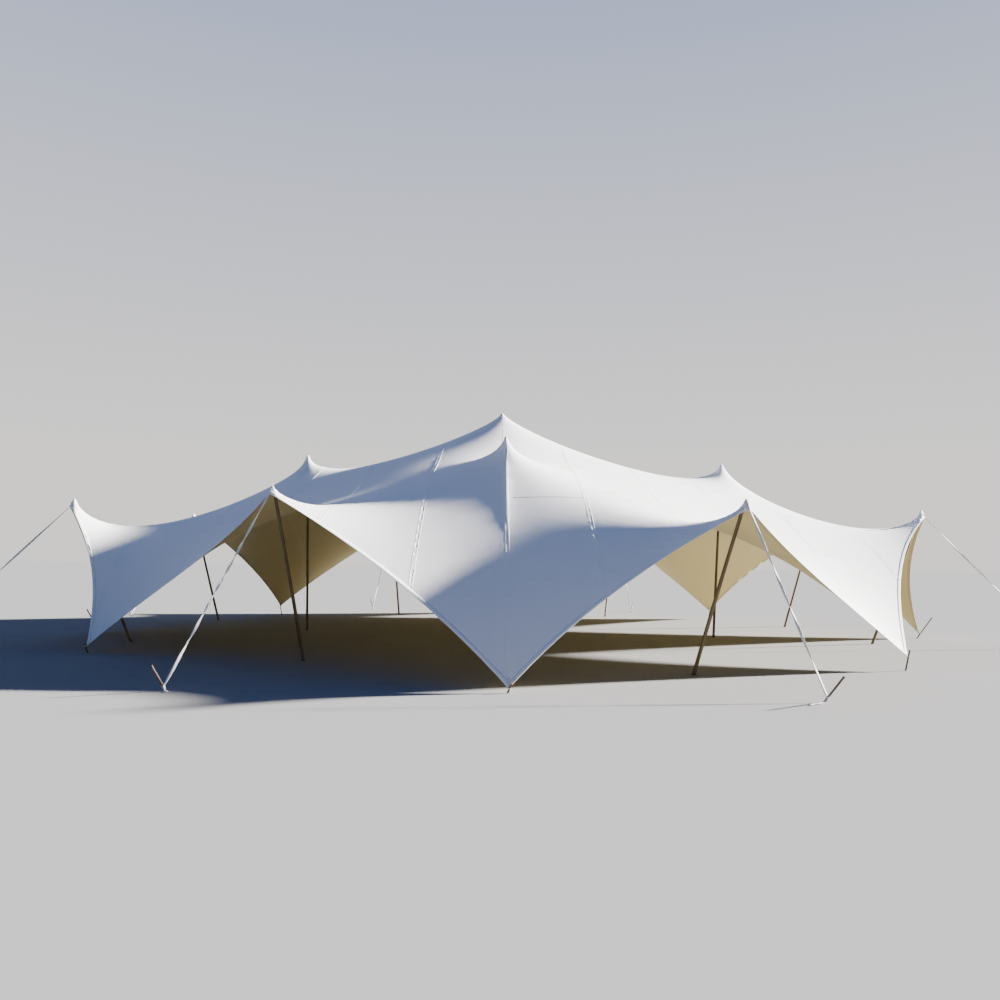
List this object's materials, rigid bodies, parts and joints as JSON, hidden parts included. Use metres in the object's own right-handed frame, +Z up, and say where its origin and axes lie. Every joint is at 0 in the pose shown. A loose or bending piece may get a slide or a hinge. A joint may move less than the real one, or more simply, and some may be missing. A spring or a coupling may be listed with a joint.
{
  "type": "stretch tent",
  "caption": "Freeform stretch tent: an elastic canopy over a king pole, inner poles and leaning side poles, pegged at its low corners and held out by webbing guys.",
  "frame": {"origin": "centre of the king pole's foot, on the ground", "axes": "+Z up, +Y from the front towards the back, +X to the right as seen from the front"},
  "size_m": [23.3902, 21.5762, 5.353],
  "materials": {
    "canopy": "coated stretch weave, white outside and sand inside, matt with a faint sheen",
    "pole": "dark stained round timber with long grain and drying cracks, satin",
    "guy": "white woven polyester webbing, matt",
    "stake": "dark bare steel bar, scuffed, with a hammered bright head"
  },
  "bodies": {
    "root": {"canopy_crown": "canopy", "canopy_front": "canopy", "canopy_front_right": "canopy", "canopy_right": "canopy", "canopy_back_right": "canopy", "canopy_back": "canopy", "canopy_back_left": "canopy", "canopy_left": "canopy", "canopy_front_left": "canopy", "king_pole": "pole", "inner_pole_front": "pole", "inner_pole_right": "pole", "inner_pole_back": "pole", "inner_pole_left": "pole", "side_pole_front_right": "pole", "side_pole_right_front": "pole", "side_pole_right_back": "pole", "side_pole_back_right": "pole", "side_pole_back_left": "pole", "side_pole_left_back": "pole", "side_pole_left_front": "pole", "side_pole_front_left": "pole", "corner_stake_front": "stake", "corner_stake_front_right": "stake", "corner_stake_right": "stake", "corner_stake_back_right": "stake", "corner_stake_back": "stake", "corner_stake_back_left": "stake", "corner_stake_left": "stake", "corner_stake_front_left": "stake", "guy_front_right": "guy", "guy_right_front": "guy", "guy_right_back": "guy", "guy_back_right": "guy", "guy_back_left": "guy", "guy_left_back": "guy", "guy_left_front": "guy", "guy_front_left": "guy", "guy_stake_front_right": "stake", "guy_stake_right_front": "stake", "guy_stake_right_back": "stake", "guy_stake_back_right": "stake", "guy_stake_back_left": "stake", "guy_stake_left_back": "stake", "guy_stake_left_front": "stake", "guy_stake_front_left": "stake"}
  },
  "joints": []
}
